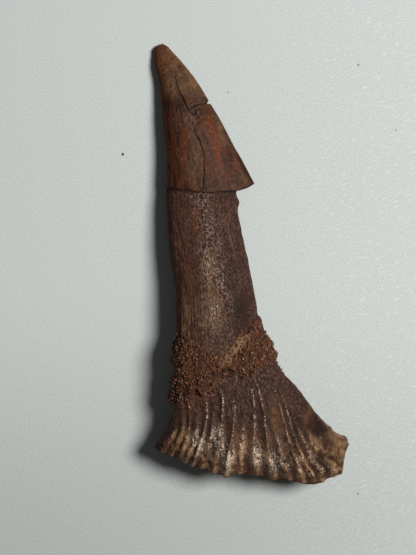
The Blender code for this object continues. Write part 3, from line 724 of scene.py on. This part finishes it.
at_edge = smoothstep(share, 0.84, 0.98)
proud = proud * (1 - at_edge) + np.interp(down, *EDGE_PROUD.T) * at_edge
thick = cover * proud - 0.35 * seam
rough = 0.04 * hills(natural, 0.24, 65) + 0.03 * hills(natural, 0.14, 66)
outer = natural + outward(natural) * (thick + cover * rough - 0.15 * (1 - cover))[..., None]
# The rows run down the outer side and, at every twentieth, back up the inner side.
inside = (natural - outward(natural) * CRUST_SINK)[::-20]
outer[..., 2] = outer[..., 2].clip(OVER_CARD)
inside[..., 2] = inside[..., 2].clip(OVER_CARD)
pad = ((0, len(inside)), (0, 0))
crust = mesh_piece(
    "sand_crust", np.concatenate((outer, inside)), True,
    silt=np.pad(silt, pad, mode="edge"), seam=np.pad(seam, pad, mode="edge"),
)

# Iron-cemented sand: rust brown, with tan silt where no grains show, and painted shade in the seam's
# groove.
matrix, tree, shader = finish("iron_cemented_sand")
place = place_mm(tree)
mottle = pattern(tree, place, (2.4, 2.4, 2.4), 5, 0.7)
silted = add(tree, "ShaderNodeAttribute", attribute_name="silt").outputs["Fac"]
seam_and_painted_shade = add(tree, "ShaderNodeAttribute", attribute_name="seam").outputs["Fac"]
colour = coat(tree, linear("#2C1810"), "#5E3A22", mottle, 0.38, 0.62)
colour = coat(tree, colour, "#7E6246", mottle, 0.2, 0.5, where=silted)
# The seam's groove is painted near black: painted shade.
mixed = {0: seam_and_painted_shade, 6: colour, 7: linear("#120907")}
colour = add(tree, "ShaderNodeMix", mixed, data_type="RGBA").outputs[2]
tree.links.new(colour, shader.inputs["Base Color"])
shader.inputs["Roughness"].default_value = 0.8
shader.inputs["Specular IOR Level"].default_value = 0.25
grit = pattern(tree, place, (9, 9, 9), 4, 0.7)
bumps = add(tree, "ShaderNodeBump", {"Height": grit, "Strength": 0.6, "Distance": 0.1 * MM})
tree.links.new(bumps.outputs["Normal"], shader.inputs["Normal"])
crust.data.materials.append(matrix)
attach(crust, "root")
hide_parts("sand_matrix")


# ---------------------------------------------------------------------------------------------------
# Grains: single grains of quartz sand in the crust, each stained by iron, half sunk in the cement.
# A few stand alone beyond the edge of the crust.

GRAINS = 4000
GRAIN_SEED = 71
SMALLEST, SPREAD = 0.08, 0.10  # radius of the smallest grain, and how much more the largest has
SINK, STAND = 0.35, 0.55  # how deep or high a grain's centre may be, in radii
SHIFT = 0.04  # how far a grain may stray along each axis

# The chance of a grain at a place goes with its area. It is high in the crust, lower in the silt, small
# beyond the crust's edge and least along the seam.
rng = np.random.default_rng(GRAIN_SEED)
normal = outward(outer)
weight = np.linalg.norm(np.cross(np.gradient(outer, axis=0), np.gradient(outer, axis=1)), axis=-1)
halo = bell(np.maximum(CRUST_TOP - down, down - CRUST_BOTTOM).clip(0), 0.7)
beside_seam = bell(gap, 0.26) * upper_side
weight = weight * (cover * (1 - 0.70 * silt) + 0.08 * halo + 0.01) * (1 - beside_seam)
weight[:3], weight[-3:] = 0, 0
chosen = rng.choice(weight.size, GRAINS, p=(weight / weight.sum()).ravel())
centre, up = outer.reshape(-1, 3)[chosen], normal.reshape(-1, 3)[chosen]
radius = SMALLEST + SPREAD * rng.random(GRAINS) ** 1.8
centre = centre + up * (radius * rng.uniform(-SINK, STAND, GRAINS))[:, None]
centre += rng.uniform(-SHIFT, SHIFT, centre.shape)

# Each grain is a small ball with its points moved in and out, stretched and turned at random.
ball = bmesh.new()
bmesh.ops.create_icosphere(ball, subdivisions=1, radius=1)
ball_points = np.array([v.co for v in ball.verts])
ball_faces = np.array([[v.index for v in f.verts] for f in ball.faces])
ball.free()
turn = np.linalg.qr(rng.normal(size=(GRAINS, 3, 3)))[0]
shape = ball_points * rng.uniform(0.65, 1.25, (GRAINS, len(ball_points), 1))
shape = shape * (radius[:, None] * rng.uniform(0.75, 1.3, (GRAINS, 3)))[:, None, :]
grain_points = centre[:, None, :] + shape @ turn.transpose(0, 2, 1)
grain_points[..., 2] = grain_points[..., 2].clip(OVER_CARD)
faces = ball_faces[None] + (np.arange(GRAINS) * len(ball_points))[:, None, None]
mesh = bpy.data.meshes.new("sand_grains")
mesh.from_pydata((grain_points.reshape(-1, 3) * MM).tolist(), [], faces.reshape(-1, 3).tolist())
hue = mesh.attributes.new("hue", "FLOAT", "POINT")
hue.data.foreach_set("value", np.repeat(rng.random(GRAINS), len(ball_points)).astype(np.float32))
mesh.shade_smooth()
grains = bpy.data.objects.new("sand_grains", mesh)
bpy.context.scene.collection.objects.link(grains)

# Stained quartz: from nearly black through rust to pale tan, a little glossy.
quartz, tree, shader = finish("stained_quartz")
hue = add(tree, "ShaderNodeAttribute", attribute_name="hue").outputs["Fac"]
colour = coat(tree, linear("#381E14"), "#5C3623", hue, 0.0, 0.5)
colour = coat(tree, colour, "#784D33", hue, 0.5, 0.95)
colour = coat(tree, colour, "#8E735C", hue, 0.96, 0.98)
tree.links.new(colour, shader.inputs["Base Color"])
shader.inputs["Roughness"].default_value = 0.5
shader.inputs["Specular IOR Level"].default_value = 0.3
grains.data.materials.append(quartz)
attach(grains, "root")
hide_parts("sand_matrix")


# ---------------------------------------------------------------------------------------------------
# The studio: a sheet of off-white card, one soft key light from the right, and the camera above.

VIEW_HEIGHT = 63.2  # what the view covers from top to bottom, at the height of the tooth's edge
VIEW_CENTRE = (-4.95, -1.60, 1.30)
CAMERA_DISTANCE = 450
SENSOR = 36.0
CARD_HALF = 0.3  # half the card's side, in metres
ROOM_LIGHT = 0.06
# Crumbs of dirt on the card: place, radius, and how dark each one is.
CRUMBS = (
    (-14.68, 12.47, 0.22, 0.95), (12.20, 22.67, 0.18, 0.6), (16.55, 15.27, 0.16, 0.45),
    (-2.68, 19.56, 0.16, 0.4), (12.18, -26.29, 0.18, 0.5),
)

floor_mesh = bpy.data.meshes.new("card")
corners = ((-1, -1), (1, -1), (1, 1), (-1, 1))
floor_mesh.from_pydata([(CARD_HALF * x, CARD_HALF * y, 0) for x, y in corners], [], [(0, 1, 2, 3)])
floor = bpy.data.objects.new("card", floor_mesh)
bpy.context.scene.collection.objects.link(floor)

# Card: pale grey-green, faintly mottled, with scratches painted as bright glinting streaks towards the
# light, and a few dark crumbs. A painted shade makes it a little darker towards its lower left.
card, tree, shader = finish("matt_card")
place = place_mm(tree)
turned = add(tree, "ShaderNodeVectorRotate", {"Vector": place, "Angle": -0.45}).outputs[0]
to_right, to_front, _ = add(tree, "ShaderNodeSeparateXYZ", {0: place}).outputs
mottle = pattern(tree, place, (5.5, 5.5, 1), 3, 0.7)
painted_scratch_glints = coverage(tree, pattern(tree, turned, (1.1, 5.5, 1), 3, 0.7), 0.56, 0.68, 0.7)
painted_shade_to_lower_left = coverage(tree, to_front, 0, -36, 0.26)
colour = coat(tree, linear("#C2C9C7"), "#D2D8D6", mottle, 0.36, 0.64)
# Painted glints of the scratches, brighter towards the light.
colour = coat(tree, colour, "#EAEEEC", to_right, -8, 16, where=painted_scratch_glints)
# Painted shade, darker towards the lower left.
colour = coat(tree, colour, "#4C4842", to_right, 90, -30, where=painted_shade_to_lower_left)
for crumb_x, crumb_y, crumb_radius, darkness in CRUMBS:
    ends = {0: place, 1: (crumb_x, crumb_y, 0)}
    away = add(tree, "ShaderNodeVectorMath", ends, operation="DISTANCE").outputs["Value"]
    colour = coat(tree, colour, "#2A2824", away, crumb_radius, 0.4 * crumb_radius, darkness)
tree.links.new(colour, shader.inputs["Base Color"])
shader.inputs["Roughness"].default_value = 0.9
floor_mesh.materials.append(card)

target = Vector(VIEW_CENTRE) * MM
camera = bpy.data.objects.new("camera", bpy.data.cameras.new("camera"))
camera.data.sensor_width = SENSOR
camera.data.lens = SENSOR * CAMERA_DISTANCE / VIEW_HEIGHT
camera.location = target + Vector((0, 0, CAMERA_DISTANCE * MM))
camera.data.clip_start, camera.data.clip_end = 0.01, 5
bpy.context.scene.collection.objects.link(camera)
bpy.context.scene.camera = camera


def soft_light(name, azimuth, elevation, distance, size, power, colour):
    """A round area light at that angle from the tooth, in degrees, distance and size in metres."""
    lamp = bpy.data.lights.new(name, "AREA")
    lamp.shape = "DISK"
    lamp.size, lamp.energy, lamp.color = size, power, colour
    turn, lift = np.radians(azimuth), np.radians(elevation)
    place = Vector((np.cos(lift) * np.cos(turn), np.cos(lift) * np.sin(turn), np.sin(lift)))
    holder = bpy.data.objects.new(name, lamp)
    holder.location = target + place * distance
    holder.rotation_euler = place.to_track_quat("Z", "Y").to_euler()
    bpy.context.scene.collection.objects.link(holder)


soft_light("key", azimuth=12, elevation=52, distance=0.45, size=0.17, power=2.38, colour=(1.0, 0.99, 0.97))
world = bpy.data.worlds.new("room")
world.use_nodes = True
world.node_tree.nodes["Background"].inputs["Color"].default_value = (1, 1, 1, 1)
world.node_tree.nodes["Background"].inputs["Strength"].default_value = ROOM_LIGHT
bpy.context.scene.world = world
bpy.context.scene.view_settings.view_transform = "Standard"
